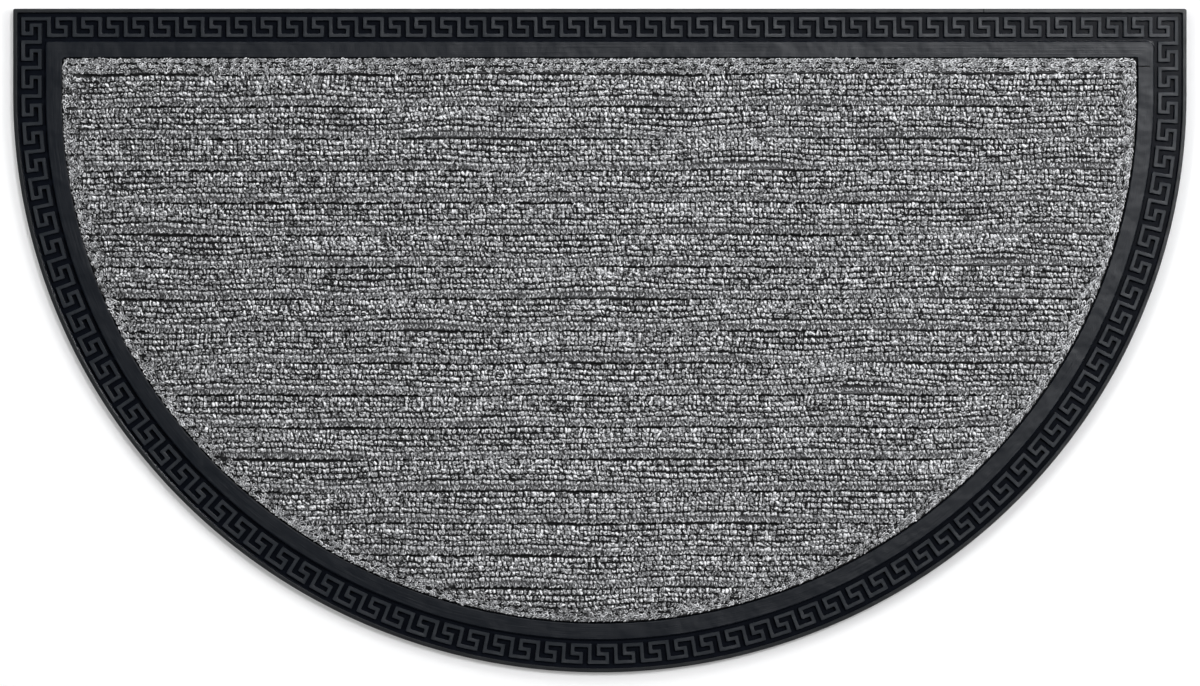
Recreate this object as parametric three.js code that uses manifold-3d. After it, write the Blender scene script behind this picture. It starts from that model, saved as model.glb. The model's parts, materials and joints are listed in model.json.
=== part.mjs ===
// A half-moon doormat: a moulded rubber base with a raised running key in its border, and a
// ribbed loop-pile carpet inlay that lies in the base's recess.
//
// Millimetres, +Z up. The origin is on the floor, under the middle of the mat's bounding box.
// The long straight edge is the side towards +Y, and the round edge reaches towards -Y.
//
// Nearly every line on this mat runs parallel to its outer edge, so a place is given as an
// inset: its distance in from the outer edge.

import * as THREE from "three";
import { mergeVertices } from "three/addons/utils/BufferGeometryUtils.js";
import Module from "manifold-3d";

const wasm = await Module();
wasm.setup();

// Outline of the whole mat
const WIDTH = 700;
const DEPTH = 397;
const SHORT_SIDE = 52; // straight stretch from each square corner to where the round edge starts
const ROUND_FACETS = 72;

// Rubber border, as insets from the outer edge
const EDGE_ROUND = 0.8;
const LIP_WIDTH = 1.9;
const WALL_DRAFT = 0.3; // how far a moulded wall leans from its foot to its top
const CHANNEL_END = 19.6;
const BAND_END = 28.9;

// Radii of the two corners under the straight edge. The moulding is a little uneven, so the
// left and right corners of one line differ.
const OUTER_CORNERS = { left: 1.2, right: 1.2 };
const BAND_CORNERS = { left: 1.5, right: 3.5 };
const CARPET_CORNERS = { left: 2.8, right: 1.2 };
const CORNER_FACETS = 3;

// Heights above the floor
const RECESS_FLOOR = 2.2;
const CHANNEL_FLOOR = 2.6;
const KEY_TOP = 4.3;
const LIP_TOP = 4.5;
const BAND_TOP = 5.0;
const MARGIN_TOP = 5.9;
const RIB_TOP = 8.0;

// Running key ridge: three parallel lines that its square turns run on
const KEY_LINE_INSETS = [5.8, 10.85, 15.9]; // outer, middle and inner line
const KEY_TOP_WIDTH = 2.1;
const KEY_FOOT_WIDTH = 2.7;
const KEY_SUNK = 0.8; // how far the ridge's root reaches into the channel floor
const STEPS_PER_UNIT = 3; // grid steps along the border in one unit of the key
const STRAIGHT_UNITS = 44;
const CORNER_UNIT_PITCH = 15.2; // measured along the outer edge
const SHOULDER_UNIT_PITCH = 16.9;
// The key's units from one corner, round the curve, to the other. The long middle run has no
// pitch of its own, because it fills what the others leave.
const ROUND_RUNS = [
  { name: "first corner", units: 2, pitch: CORNER_UNIT_PITCH },
  { name: "first shoulder", units: 9, pitch: SHOULDER_UNIT_PITCH },
  { name: "curve", units: 50, pitch: null },
  { name: "last shoulder", units: 9, pitch: SHOULDER_UNIT_PITCH },
  { name: "last corner", units: 2, pitch: CORNER_UNIT_PITCH },
];

// Carpet inlay
const FIT_GAP = 0.3; // between the carpet and the recess, at the sides and underneath
const PILE_ROUND = 1.0; // rounding of the pile at the carpet's cut edge
const MARGIN_WIDTH = 8.8; // flat pressed margin all round
const RIB_COUNT = 17;
const RIB_PITCH = 19.29;
const FIRST_RIB_INSET = 37.7; // from the straight edge to the first rib's steep side
const RIB_STEEP = 0.8;
const RIB_CREST = 12.4; // from the steep side to where the far side starts to fall
const RIB_FOOT = 15.0; // from the steep side to where the valley starts
const RIB_ROOT = 0.6; // how far a rib's root reaches into the pad

const HALF_WIDTH = WIDTH / 2;
const TOP_Y = DEPTH / 2;
const SHOULDER_Y = TOP_Y - SHORT_SIDE;
const ROUND_REACH = DEPTH - SHORT_SIDE;

// The point of the round edge at an angle, moved in by an inset along the edge's normal. The
// angle runs from 0 at the right shoulder to PI at the left one.
function roundPoint(angle, inset) {
  const normal = new THREE.Vector2(Math.cos(angle) / HALF_WIDTH, Math.sin(angle) / ROUND_REACH);
  normal.normalize();
  return new THREE.Vector2(
    HALF_WIDTH * Math.cos(angle) - inset * normal.x,
    SHOULDER_Y - ROUND_REACH * Math.sin(angle) + inset * normal.y,
  );
}

// A rounded corner under the straight edge, anticlockwise. The side is 1 for the right corner
// and -1 for the left one.
function cornerPoints(side, inset, radius) {
  const centreX = side * (HALF_WIDTH - inset - radius);
  const centreY = TOP_Y - inset - radius;
  const firstAngle = side > 0 ? 0 : Math.PI / 2;
  return Array.from({ length: CORNER_FACETS + 1 }, (_, i) => {
    const angle = firstAngle + (Math.PI / 2) * (i / CORNER_FACETS);
    return new THREE.Vector2(
      centreX + radius * Math.cos(angle),
      centreY + radius * Math.sin(angle),
    );
  });
}

// The mat's outline at an inset, anticlockwise from the right corner. Every inset gives the
// same number of points, so two outlines can be joined point by point.
function outlineAt(inset, corners) {
  const points = [
    ...cornerPoints(1, inset, corners.right),
    ...cornerPoints(-1, inset, corners.left),
  ];
  for (let i = 0; i <= ROUND_FACETS; i++) {
    points.push(roundPoint(Math.PI * (1 - i / ROUND_FACETS), inset));
  }
  return points;
}

// A closed skin over rings of points that are joined one above the other, with flat caps on
// the first and last ring. Each ring is { points, z }, and all have the same number of points.
function skinOf(rings) {
  const count = rings[0].points.length;
  const positions = [];
  const index = [];
  for (const ring of rings) {
    for (const p of ring.points) positions.push(p.x, p.y, ring.z);
  }
  for (let r = 0; r + 1 < rings.length; r++) {
    for (let i = 0; i < count; i++) {
      const a = r * count + i;
      const b = r * count + ((i + 1) % count);
      index.push(a, b, b + count, a, b + count, a + count);
    }
  }
  const lastRing = (rings.length - 1) * count;
  for (const [a, b, c] of THREE.ShapeUtils.triangulateShape(rings[0].points, [])) {
    index.push(a, c, b);
  }
  for (const [a, b, c] of THREE.ShapeUtils.triangulateShape(rings.at(-1).points, [])) {
    index.push(lastRing + a, lastRing + b, lastRing + c);
  }
  const geometry = new THREE.BufferGeometry();
  geometry.setAttribute("position", new THREE.Float32BufferAttribute(positions, 3));
  geometry.setIndex(index);
  return geometry;
}

// A closed skin whose section, a list of { inset, z, corners }, runs right round the outline.
function sweepSection(section) {
  return skinOf(
    section.map(({ inset, z, corners }) => ({ points: outlineAt(inset, corners), z })),
  );
}

function solidOf(geometry) {
  const bare = geometry.clone();
  bare.deleteAttribute("normal");
  bare.deleteAttribute("uv");
  const merged = mergeVertices(bare, 1e-4);
  return new wasm.Manifold(
    new wasm.Mesh({
      numProp: 3,
      vertProperties: new Float32Array(merged.attributes.position.array),
      triVerts: new Uint32Array(merged.index.array),
    }),
  );
}

function geometryOf(solid) {
  const mesh = solid.getMesh();
  const geometry = new THREE.BufferGeometry();
  geometry.setAttribute("position", new THREE.BufferAttribute(mesh.vertProperties, 3));
  geometry.setIndex(new THREE.BufferAttribute(mesh.triVerts, 1));
  geometry.computeVertexNormals();
  return geometry;
}

// The rubber without its key: underside, lip, channel, band and recess in one section.
function makePlainBase() {
  return sweepSection([
    { inset: 0, z: 0, corners: OUTER_CORNERS },
    { inset: 0, z: LIP_TOP - EDGE_ROUND, corners: OUTER_CORNERS },
    { inset: EDGE_ROUND, z: LIP_TOP, corners: OUTER_CORNERS },
    { inset: LIP_WIDTH, z: LIP_TOP, corners: OUTER_CORNERS },
    { inset: LIP_WIDTH + WALL_DRAFT, z: CHANNEL_FLOOR, corners: OUTER_CORNERS },
    { inset: CHANNEL_END - WALL_DRAFT, z: CHANNEL_FLOOR, corners: BAND_CORNERS },
    { inset: CHANNEL_END, z: BAND_TOP, corners: BAND_CORNERS },
    { inset: BAND_END, z: BAND_TOP, corners: CARPET_CORNERS },
    { inset: BAND_END, z: RECESS_FLOOR, corners: CARPET_CORNERS },
  ]);
}

// One unit of the key, from an outer turn to the next one: down to the inner line, on, back up
// to the middle line and back, then out. Steps are along the border, lines are across it.
const KEY_UNIT = [
  { step: 0, line: 0 },
  { step: 0, line: 2 },
  { step: 2, line: 2 },
  { step: 2, line: 1 },
  { step: 1, line: 1 },
  { step: 1, line: 0 },
];

// The key's corners along one side, as { along, line }: a first bar as long as a unit, then the
// units of each run. The side's last corner is the next side's first one.
function keyCorners(start, firstBar, runs) {
  const corners = [{ along: start, line: 0 }];
  let along = start + firstBar;
  for (const { units, pitch } of runs) {
    for (let k = 0; k < units; k++) {
      for (const { step, line } of KEY_UNIT) {
        corners.push({ along: along + (pitch * step) / STEPS_PER_UNIT, line });
      }
      along += pitch;
    }
  }
  return corners;
}

// The ridge's middle line along the straight edge, from the left corner to the right one.
function straightKeyPoints() {
  const start = KEY_LINE_INSETS[0];
  const pitch = (WIDTH - 2 * start) / (STRAIGHT_UNITS + 1);
  return keyCorners(start, pitch, [{ units: STRAIGHT_UNITS, pitch }]).map(
    ({ along, line }) => new THREE.Vector2(along - HALF_WIDTH, TOP_Y - KEY_LINE_INSETS[line]),
  );
}

// The ridge's middle line from the right corner down, round the curve and up to the left one.
function roundKeyPoints() {
  const edge = new THREE.Path();
  edge.moveTo(HALF_WIDTH, TOP_Y);
  edge.lineTo(HALF_WIDTH, SHOULDER_Y);
  edge.absellipse(0, SHOULDER_Y, HALF_WIDTH, ROUND_REACH, 0, -Math.PI, true);
  edge.lineTo(-HALF_WIDTH, TOP_Y);
  const start = KEY_LINE_INSETS[0];
  const length = edge.getLength();
  const paced = ROUND_RUNS.filter((run) => run.pitch);
  const free = ROUND_RUNS.find((run) => !run.pitch);
  const taken = paced.reduce((sum, run) => sum + run.units * run.pitch, CORNER_UNIT_PITCH);
  const curvePitch = (length - 2 * start - taken) / free.units;
  const runs = ROUND_RUNS.map(({ units, pitch }) => ({ units, pitch: pitch ?? curvePitch }));
  return keyCorners(start, CORNER_UNIT_PITCH, runs).map(({ along, line }) => {
    const u = along / length;
    const inward = edge.getTangentAt(u).rotateAround(new THREE.Vector2(), -Math.PI / 2);
    return edge.getPointAt(u).addScaledVector(inward, KEY_LINE_INSETS[line]);
  });
}

// The closed middle line moved sideways by a distance, to its left where that is positive, with
// its corners kept sharp.
function movedSideways(line, distance) {
  return line.map((point, i) => {
    const before = line.at(i - 1);
    const after = line[(i + 1) % line.length];
    const inDirection = point.clone().sub(before).normalize();
    const outDirection = after.clone().sub(point).normalize();
    const inLeft = new THREE.Vector2(-inDirection.y, inDirection.x);
    const outLeft = new THREE.Vector2(-outDirection.y, outDirection.x);
    const reach = distance / (1 + inLeft.dot(outLeft));
    return point.clone().addScaledVector(inLeft.add(outLeft), reach);
  });
}

// The ridge as a closed ring with leaning walls: four rails, joined all the way round.
function makeKeyRidge() {
  const line = [...straightKeyPoints(), ...roundKeyPoints()];
  const footZ = CHANNEL_FLOOR - KEY_SUNK;
  const rails = [
    { offset: -KEY_FOOT_WIDTH / 2, z: footZ },
    { offset: -KEY_TOP_WIDTH / 2, z: KEY_TOP },
    { offset: KEY_TOP_WIDTH / 2, z: KEY_TOP },
    { offset: KEY_FOOT_WIDTH / 2, z: footZ },
  ];
  const count = line.length;
  const positions = [];
  const index = [];
  for (const { offset, z } of rails) {
    for (const p of movedSideways(line, offset)) positions.push(p.x, p.y, z);
  }
  for (let r = 0; r < rails.length; r++) {
    const next = (r + 1) % rails.length;
    for (let i = 0; i < count; i++) {
      const j = (i + 1) % count;
      const a = r * count + i;
      const b = r * count + j;
      const c = next * count + j;
      const d = next * count + i;
      index.push(a, b, c, a, c, d);
    }
  }
  const geometry = new THREE.BufferGeometry();
  geometry.setAttribute("position", new THREE.Float32BufferAttribute(positions, 3));
  geometry.setIndex(index);
  return geometry;
}

// The carpet's flat pad, up to the pressed margin.
function makePad() {
  const cutEdge = BAND_END + FIT_GAP;
  return sweepSection([
    { inset: cutEdge, z: RECESS_FLOOR + FIT_GAP, corners: CARPET_CORNERS },
    { inset: cutEdge, z: MARGIN_TOP - PILE_ROUND, corners: CARPET_CORNERS },
    { inset: cutEdge + PILE_ROUND, z: MARGIN_TOP, corners: CARPET_CORNERS },
  ]);
}

// One rib across the whole width, before its ends are cut to the margin. Its section lies in
// the YZ plane, with the steep side towards +Y.
function makeRib(number) {
  const steepY = TOP_Y - FIRST_RIB_INSET - number * RIB_PITCH;
  const section = new THREE.Shape([
    new THREE.Vector2(steepY, MARGIN_TOP - RIB_ROOT),
    new THREE.Vector2(steepY, MARGIN_TOP),
    new THREE.Vector2(steepY - RIB_STEEP, RIB_TOP),
    new THREE.Vector2(steepY - RIB_CREST, RIB_TOP),
    new THREE.Vector2(steepY - RIB_FOOT, MARGIN_TOP),
    new THREE.Vector2(steepY - RIB_FOOT, MARGIN_TOP - RIB_ROOT),
  ]);
  const rib = new THREE.ExtrudeGeometry(section, { depth: WIDTH, bevelEnabled: false });
  // The section's axes become Y and Z, and its depth runs along X.
  rib.applyMatrix4(
    new THREE.Matrix4().makeBasis(
      new THREE.Vector3(0, 1, 0),
      new THREE.Vector3(0, 0, 1),
      new THREE.Vector3(1, 0, 0),
    ),
  );
  rib.translate(-HALF_WIDTH, 0, 0);
  return rib;
}

function makeRubberBase() {
  const solid = solidOf(makePlainBase()).add(solidOf(makeKeyRidge()));
  const rubber = new THREE.MeshStandardMaterial({
    color: 0x2e3134,
    roughness: 0.62,
    metalness: 0,
  });
  const mesh = new THREE.Mesh(geometryOf(solid), rubber);
  mesh.name = "rubber_base";
  return mesh;
}

function makeCarpetInlay() {
  const marginEnd = BAND_END + FIT_GAP + MARGIN_WIDTH;
  const ribbedArea = solidOf(
    sweepSection([
      { inset: marginEnd, z: 0, corners: CARPET_CORNERS },
      { inset: marginEnd, z: 2 * RIB_TOP, corners: CARPET_CORNERS },
    ]),
  );
  let solid = solidOf(makePad());
  for (let number = 0; number < RIB_COUNT; number++) {
    solid = solid.add(solidOf(makeRib(number)).intersect(ribbedArea));
  }
  const heather = new THREE.MeshStandardMaterial({
    color: 0x747577,
    roughness: 0.95,
    metalness: 0,
  });
  const mesh = new THREE.Mesh(geometryOf(solid), heather);
  mesh.name = "carpet_inlay";
  return mesh;
}

const doormat = new THREE.Group();
doormat.name = "half_moon_doormat";
doormat.add(makeRubberBase(), makeCarpetInlay());

export default doormat;
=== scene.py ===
# %% [markdown]
# A half-moon doormat lies flat on a pale floor, seen from straight above. It has two parts.
# A black rubber moulding makes the whole border, with a running key raised in a sunk channel,
# and a piece of grey heather loop-pile carpet is pressed into the moulding's recess.
#
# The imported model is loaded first. It is the fixed frame: it says how large the mat is and
# where each part lies, and everything below is made to fit it.

import json
import math

import bpy
import numpy as np
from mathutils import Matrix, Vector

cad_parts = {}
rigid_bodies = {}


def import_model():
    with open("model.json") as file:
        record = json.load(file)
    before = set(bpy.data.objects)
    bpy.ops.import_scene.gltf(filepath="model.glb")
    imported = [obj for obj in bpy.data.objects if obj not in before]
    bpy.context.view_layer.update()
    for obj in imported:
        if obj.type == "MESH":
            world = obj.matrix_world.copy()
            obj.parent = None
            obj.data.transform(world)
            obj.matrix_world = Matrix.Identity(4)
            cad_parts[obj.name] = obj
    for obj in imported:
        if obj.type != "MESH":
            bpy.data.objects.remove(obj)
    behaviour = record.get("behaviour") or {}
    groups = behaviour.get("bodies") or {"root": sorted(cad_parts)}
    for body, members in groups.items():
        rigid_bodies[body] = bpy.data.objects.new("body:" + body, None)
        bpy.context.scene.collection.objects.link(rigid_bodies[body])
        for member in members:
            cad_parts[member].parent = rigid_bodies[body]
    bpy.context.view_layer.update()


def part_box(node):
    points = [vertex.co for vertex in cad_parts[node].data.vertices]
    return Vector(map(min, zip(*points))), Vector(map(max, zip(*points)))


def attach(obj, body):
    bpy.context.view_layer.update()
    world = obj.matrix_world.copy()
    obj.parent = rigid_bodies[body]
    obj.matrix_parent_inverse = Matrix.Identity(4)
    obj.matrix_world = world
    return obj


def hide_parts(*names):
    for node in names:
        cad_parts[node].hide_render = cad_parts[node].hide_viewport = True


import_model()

# %% [markdown]
# All sizes below are real ones, in millimetres, and one factor turns them into Blender's
# metres. The main ones are read from the frame, so the looks follow the model if it changes.
# The photographed mat is a millimetre less deep than the model, so a little is trimmed off.

# %% Main sizes from the frame
MM = 0.001

base_low, base_high = (np.array(corner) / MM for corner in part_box("rubber_base"))
carpet_low, carpet_high = (np.array(corner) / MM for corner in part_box("carpet_inlay"))
TOP_TRIM = 0.6
ROUND_TRIM = 0.5
HALF_WIDTH = base_high[0]
TOP_Y = base_high[1] - TOP_TRIM
DEPTH = TOP_Y - base_low[1] - ROUND_TRIM
BAND_TOP = base_high[2]
CARPET_INSET = HALF_WIDTH - carpet_high[0]
CARPET_UNDERSIDE = carpet_low[2]
RIB_TOP = carpet_high[2]

SHORT_SIDE = 51.4  # straight stretch from each square corner to the start of the round edge
SHOULDER_Y = TOP_Y - SHORT_SIDE
ROUND_REACH = DEPTH - SHORT_SIDE
print(f"mat {2 * HALF_WIDTH:.0f} x {DEPTH:.0f} mm, carpet starts {CARPET_INSET:.1f} mm in")

# %% [markdown]
# A few small helpers serve the whole script. Colours are written as sRGB hex values, as a
# designer picks them, and shaders want linear numbers, so one function turns them. Another
# adds a node to any tree with its inputs, and the next ones add the nodes that are wanted
# most: sums, fades, noises, colours, bumps and the surface itself. The last ones make an
# object, and store a vector or a number at each of a mesh's points.

# %% Helpers for colours, nodes and meshes
def linear(hex_colour):
    """The linear RGBA of an sRGB hex colour such as "3a3d40"."""
    channels = [int(hex_colour[i:i + 2], 16) / 255 for i in (0, 2, 4)]
    turned = [c / 12.92 if c <= 0.04045 else ((c + 0.055) / 1.055) ** 2.4 for c in channels]
    return (*turned, 1.0)


def add_node(tree, kind, inputs=None, **properties):
    """Adds a node with its properties. inputs gives an input, by name or number, a constant
    or the output socket that feeds it."""
    node = tree.nodes.new(kind)
    for name, value in properties.items():
        setattr(node, name, value)
    for name, source in (inputs or {}).items():
        if isinstance(source, bpy.types.NodeSocket):
            tree.links.new(source, node.inputs[name])
        else:
            node.inputs[name].default_value = source
    return node


def value_of(tree, kind, inputs=None, **properties):
    """Adds a node in the same way, and gives its first output."""
    return add_node(tree, kind, inputs, **properties).outputs[0]


def calculate(tree, operation, *inputs):
    """The result of a Math node on sockets or numbers."""
    return value_of(tree, "ShaderNodeMath", dict(enumerate(inputs)), operation=operation)


def weigh(tree, terms, offset):
    """The sum of sockets times their weights, and an offset."""
    total = offset
    for socket, weight in terms:
        total = calculate(tree, "MULTIPLY_ADD", socket, weight, total)
    return total


def fade(tree, value, start, full, low=0.0, high=1.0, kind="LINEAR"):
    """Goes from low to high while a value goes from start to full."""
    return value_of(tree, "ShaderNodeMapRange", {
        "Value": value, "From Min": start, "From Max": full, "To Min": low, "To Max": high,
    }, interpolation_type=kind)


def part_of(tree, vector, axis):
    """One axis of a vector socket."""
    return add_node(tree, "ShaderNodeSeparateXYZ", {0: vector}).outputs[axis]


def scaled(tree, vector, factor):
    """A vector socket times a number."""
    return value_of(tree, "ShaderNodeVectorMath", {0: vector, "Scale": factor},
                    operation="SCALE")


def added(tree, first, second):
    """The sum of two vector sockets."""
    return value_of(tree, "ShaderNodeVectorMath", {0: first, 1: second}, operation="ADD")


def noise(tree, vector, size, detail, roughness, **more):
    """Noise whose bumps have a size in the vector's own unit."""
    return add_node(tree, "ShaderNodeTexNoise", {
        "Vector": vector, "Scale": 1 / size, "Detail": detail, "Roughness": roughness, **more,
    }).outputs["Fac"]


def stored(tree, name, output="Fac"):
    """What the mesh stores under a name: a number, or with output "Vector" a vector."""
    return add_node(tree, "ShaderNodeAttribute", attribute_name=name).outputs[output]


def mix_colours(tree, share, first, second):
    """A mix of two colours, each a socket or a hex value. Share 1 gives the second."""
    sides = [linear(c) if isinstance(c, str) else c for c in (first, second)]
    return add_node(tree, "ShaderNodeMix", {0: share, 6: sides[0], 7: sides[1]},
                    data_type="RGBA").outputs[2]


def colour_ramp(tree, value, stops):
    """A colour that follows a value, between stops of (position, hex colour)."""
    ramp = add_node(tree, "ShaderNodeValToRGB", {"Fac": value})
    made = ramp.color_ramp.elements
    first, *between, last = stops
    made[0].position, made[0].color = first[0], linear(first[1])
    made[1].position, made[1].color = last[0], linear(last[1])
    for position, hex_colour in between:
        made.new(position).color = linear(hex_colour)
    return ramp.outputs["Color"]


def bump(tree, height, strength, distance):
    """The surface's normal, for a relief that follows a height."""
    return value_of(tree, "ShaderNodeBump", {
        "Height": height, "Strength": strength, "Distance": distance,
    })


def new_material(name):
    """A material, and its node tree with nothing in it."""
    material = bpy.data.materials.new(name)
    material.use_nodes = True
    material.node_tree.nodes.clear()
    return material, material.node_tree


def add_surface(tree, inputs):
    """Ends a material's tree with its shader, whose inputs are sockets or constants."""
    shader = value_of(tree, "ShaderNodeBsdfPrincipled", inputs)
    add_node(tree, "ShaderNodeOutputMaterial", {"Surface": shader})


def put_in_scene(name, data):
    """An object in the scene that holds a mesh, a camera or a light."""
    made = bpy.data.objects.new(name, data)
    bpy.context.scene.collection.objects.link(made)
    return made


def make_object(name, vertices, faces):
    """A mesh object at the origin, from vertices in millimetres."""
    mesh = bpy.data.meshes.new(name)
    mesh.from_pydata(np.asarray(vertices, float) * MM, [], faces)
    mesh.update()
    return put_in_scene(name, mesh)


def add_vectors(mesh, name, vectors):
    """Stores a vector for each vertex, with zero height where only two numbers are given."""
    values = np.zeros((len(mesh.vertices), 3), np.float32)
    values[:, :vectors.shape[1]] = vectors
    mesh.attributes.new(name, "FLOAT_VECTOR", "POINT").data.foreach_set("vector", values.ravel())


def add_numbers(mesh, name, values, kind="FLOAT"):
    """Stores a number for each vertex."""
    storage = np.float32 if kind == "FLOAT" else np.int32
    mesh.attributes.new(name, kind, "POINT").data.foreach_set("value", values.astype(storage))


# %% [markdown]
# The camera comes first. The photograph looks straight down, from far enough away that the
# sides of the mat hardly show, so a long lens two and a half metres up is right. It stands
# over the middle of the picture, which is a millimetre or so off the middle of the mat.

# %% Camera straight above
CAMERA_HEIGHT = 2500.0
SENSOR_WIDTH = 36.0
FRAME_WIDTH_MM = 717.0  # what the picture's width spans on the floor
FRAME_CENTRE = (0.1, -1.5)

camera_data = bpy.data.cameras.new("camera_above")
camera_data.sensor_width = SENSOR_WIDTH
camera_data.lens = SENSOR_WIDTH * CAMERA_HEIGHT / FRAME_WIDTH_MM
camera = put_in_scene("camera_above", camera_data)
camera.location = (FRAME_CENTRE[0] * MM, FRAME_CENTRE[1] * MM, CAMERA_HEIGHT * MM)
bpy.context.scene.camera = camera
print(f"lens {camera_data.lens:.0f} mm at {CAMERA_HEIGHT:.0f} mm")

# %% [markdown]
# Nearly every line on this mat runs parallel to its outer edge: lip, channel, key, band and
# carpet. So one function draws the whole outline at any inset, which is the distance in from
# the edge. The round edge is half an ellipse, and an inset moves its points along the normal.

# %% The outline at any inset
ROUND_STEPS = 288
CORNER_STEPS = 4
OUTER_CORNERS = (1.2, 1.2)  # radii of the left and right corners under the straight edge
BAND_CORNERS = (1.5, 3.5)
CARPET_CORNERS = (2.8, 1.2)


def corner_arc(side, inset, radius):
    """A rounded corner, anticlockwise. side is 1 for the right corner, -1 for the left."""
    centre = np.array([side * (HALF_WIDTH - inset - radius), TOP_Y - inset - radius])
    start = 0.0 if side > 0 else math.pi / 2
    angles = start + np.linspace(0, math.pi / 2, CORNER_STEPS + 1)
    return centre + radius * np.column_stack([np.cos(angles), np.sin(angles)])


def outline(inset, corners, round_steps=ROUND_STEPS):
    """The mat's outline at an inset, anticlockwise from the right corner."""
    angles = np.linspace(math.pi, 0, round_steps + 1)
    edge = np.column_stack([HALF_WIDTH * np.cos(angles), -ROUND_REACH * np.sin(angles)])
    normal = np.column_stack([np.cos(angles) / HALF_WIDTH, -np.sin(angles) / ROUND_REACH])
    normal /= np.linalg.norm(normal, axis=1, keepdims=True)
    curve = edge - inset * normal + (0, SHOULDER_Y)
    left, right = corners
    return np.vstack([corner_arc(1, inset, right), corner_arc(-1, inset, left), curve])


def inset_of(x, y):
    """How far in from the mat's edge a point is. The round edge is so nearly a circle that
    the distance along the ray from its centre will do."""
    ray = np.hypot(x, y - SHOULDER_Y)
    share = np.hypot(x / HALF_WIDTH, (y - SHOULDER_Y) / ROUND_REACH)
    round_side = ray * (1 / np.maximum(share, 1e-6) - 1)
    side = np.where(y > SHOULDER_Y, HALF_WIDTH - np.abs(x), round_side)
    return np.minimum(side, TOP_Y - y)


# %% [markdown]
# The rubber's plain form is one section, carried round the outline. A press mould has no
# sharp corners, because rubber wouldn't fill them and the part wouldn't come out, so each
# corner of the section has its radius, and the walls lean a little.

# %% The moulding's section
LIP_WIDTH = 2.2
LIP_TOP = 4.5
LIP_FALL = 0.12  # the lip falls a little outwards
WALL_DRAFT = 0.3
CHANNEL_FLOOR = 2.2
CHANNEL_END = 19.6
BAND_END = 29.15
BAND_RISE = 0.16  # the band rises a little towards the carpet, which kept the press off it
RECESS_FLOOR = 2.2
SECTION_STEPS = 3

# Each corner is inset, height, radius, and the radii of the outline's own two corners.
SECTION = [
    (0.0, 0.0, 0.4, OUTER_CORNERS),
    (0.0, LIP_TOP - LIP_FALL, 0.35, OUTER_CORNERS),
    (LIP_WIDTH, LIP_TOP, 0.25, OUTER_CORNERS),
    (LIP_WIDTH + WALL_DRAFT, CHANNEL_FLOOR, 0.3, OUTER_CORNERS),
    (CHANNEL_END - WALL_DRAFT, CHANNEL_FLOOR, 0.3, BAND_CORNERS),
    (CHANNEL_END, BAND_TOP - BAND_RISE, 0.6, BAND_CORNERS),
    (BAND_END, BAND_TOP, 0.5, CARPET_CORNERS),
    (BAND_END, RECESS_FLOOR, 0.2, CARPET_CORNERS),
]


def rounded(before, corner, after, radius, steps):
    """The points of a fillet that replaces a corner between two straight lines."""
    to_before = (before - corner) / np.linalg.norm(before - corner)
    to_after = (after - corner) / np.linalg.norm(after - corner)
    half_angle = math.acos(np.clip(to_before @ to_after, -1, 1)) / 2
    bisector = (to_before + to_after) / np.linalg.norm(to_before + to_after)
    centre = corner + bisector * radius / math.sin(half_angle)
    reach = radius / math.tan(half_angle)
    first = corner + to_before * reach - centre
    last = corner + to_after * reach - centre
    turn = math.pi - 2 * half_angle
    points = []
    for share in np.linspace(0, 1, steps + 1):
        weight = np.sin(turn * (1 - share)), np.sin(turn * share)
        points.append(centre + (weight[0] * first + weight[1] * last) / math.sin(turn))
    return points


def section_points():
    """The whole section as (inset, height, corner radii), with its corners rounded. It runs
    from the middle of the underside to the middle of the recess."""
    corners = [np.array(row[:2]) for row in SECTION]
    inwards = (5.0, 0.0)  # gives the first and the last corner a neighbour
    before = [corners[0] + inwards] + corners[:-1]
    after = corners[1:] + [corners[-1] + inwards]
    points = []
    for row, a, b, c in zip(SECTION, before, corners, after):
        for point in rounded(a, b, c, row[2], SECTION_STEPS):
            points.append((point[0], point[1], row[3]))
    return points


def sweep_outline(name, section):
    """A closed shell whose section runs right round the outline, with flat ends."""
    rings = []
    for inset, height, corners in section:
        ring = outline(inset, corners)
        rings.append(np.column_stack([ring, np.full(len(ring), height)]))
    count = len(rings[0])
    faces = [list(range(count))[::-1]]
    for r in range(len(rings) - 1):
        low, high = r * count, (r + 1) * count
        for i in range(count):
            j = (i + 1) % count
            faces.append([low + i, low + j, high + j, high + i])
    faces.append([high + i for i in range(count)])
    return make_object(name, np.vstack(rings), faces)


moulding = sweep_outline("rubber_moulding", section_points())
print("plain moulding:", len(moulding.data.polygons), "faces")

# %% [markdown]
# The running key is one ridge that never ends. Its middle line steps on a square grid: from
# the outer line down to the inner one, on, back up to the middle line and back, then out
# again. The units are a little longer round the shoulders than on the straight edge, as the
# mould's maker spaced them.

# %% The key's middle line
KEY_LINE_INSETS = (5.95, 10.9, 15.9)
KEY_UNIT = [(0, 0), (0, 2), (2, 2), (2, 1), (1, 1), (1, 0)]  # grid step along, line across
STEPS_PER_UNIT = 3
STRAIGHT_UNITS = 44
CORNER_UNIT_PITCH = 15.2
FIRST_BAR = 14.6
LAST_BAR_LESS = 1.2  # the bar that closes the key, at the left corner, is a little shorter
SHOULDER_UNIT_PITCHES = (16.67, 17.05)  # right, left
CORNER_UNITS = 2
SHOULDER_UNITS = 9
CURVE_UNITS = 50
EDGE_SAMPLES = 4000


def key_corners(first_bar, runs):
    """(distance along, line) of each corner on one side. runs is a list of (units, pitch)."""
    start = KEY_LINE_INSETS[0]
    corners = [(start, 0)]
    along = start + first_bar
    for units, pitch in runs:
        for _ in range(units):
            corners += [(along + pitch * step / STEPS_PER_UNIT, line) for step, line in KEY_UNIT]
            along += pitch
    return np.array(corners)


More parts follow.
